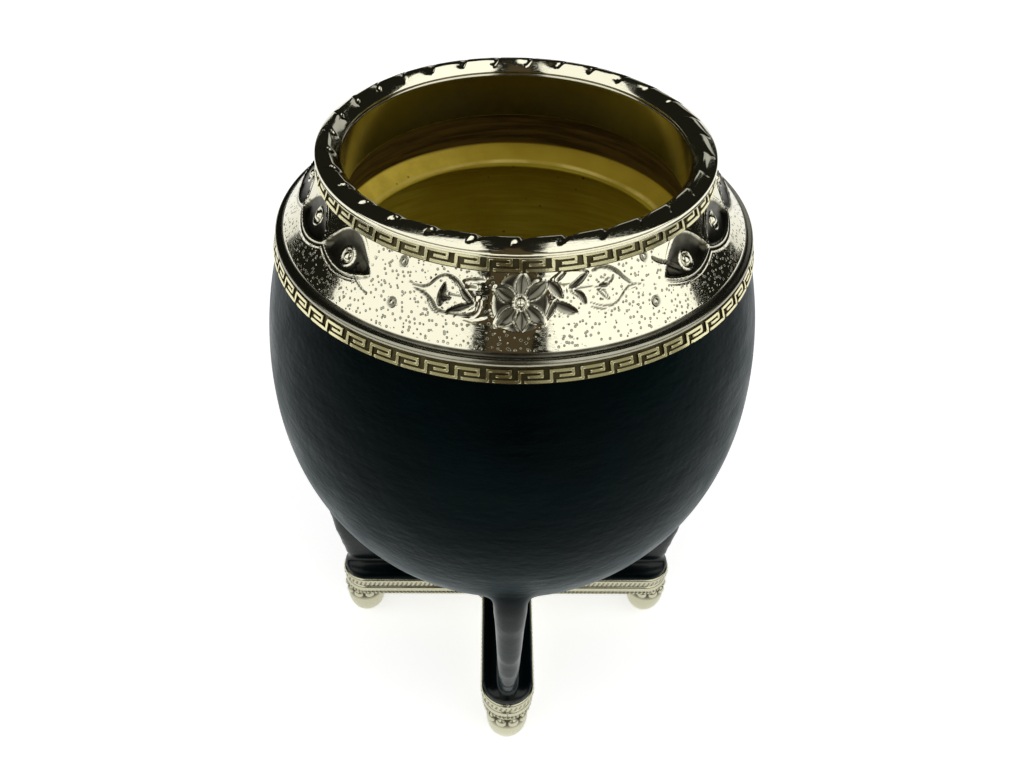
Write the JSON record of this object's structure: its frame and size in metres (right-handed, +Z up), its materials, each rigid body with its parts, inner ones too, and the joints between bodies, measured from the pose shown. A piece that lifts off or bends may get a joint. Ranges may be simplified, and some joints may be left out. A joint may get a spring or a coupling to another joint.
{
  "type": "mate gourd cup",
  "caption": "Empty mate cup: a calabash gourd in black leather on a cross stand with ball feet, with a flared engraved metal collar round its open mouth.",
  "frame": {"origin": "middle of the footprint, on the table under the feet", "axes": "+Z up through the mouth, -Y towards the front leg, +X towards the right leg"},
  "size_m": [0.09, 0.09, 0.1244],
  "materials": {
    "gourd_shell": "raw scraped calabash, dry and slightly fibrous",
    "black_leather": "smooth fine-grained leather, semi-gloss",
    "polished_metal": "polished nickel silver, chased ornament",
    "stand_metal": "cast nickel silver, satin with beaded strips"
  },
  "bodies": {
    "root": {"gourd": "gourd_shell", "leather_cover": "black_leather", "leather_cross": "black_leather", "collar": "polished_metal", "upper_key_band": "polished_metal", "lower_key_band": "polished_metal", "rim": "polished_metal", "base_frame": "stand_metal", "foot_1": "stand_metal", "foot_2": "stand_metal", "foot_3": "stand_metal", "foot_4": "stand_metal", "web_1": "black_leather", "web_2": "black_leather", "web_3": "black_leather", "web_4": "black_leather"}
  },
  "joints": []
}
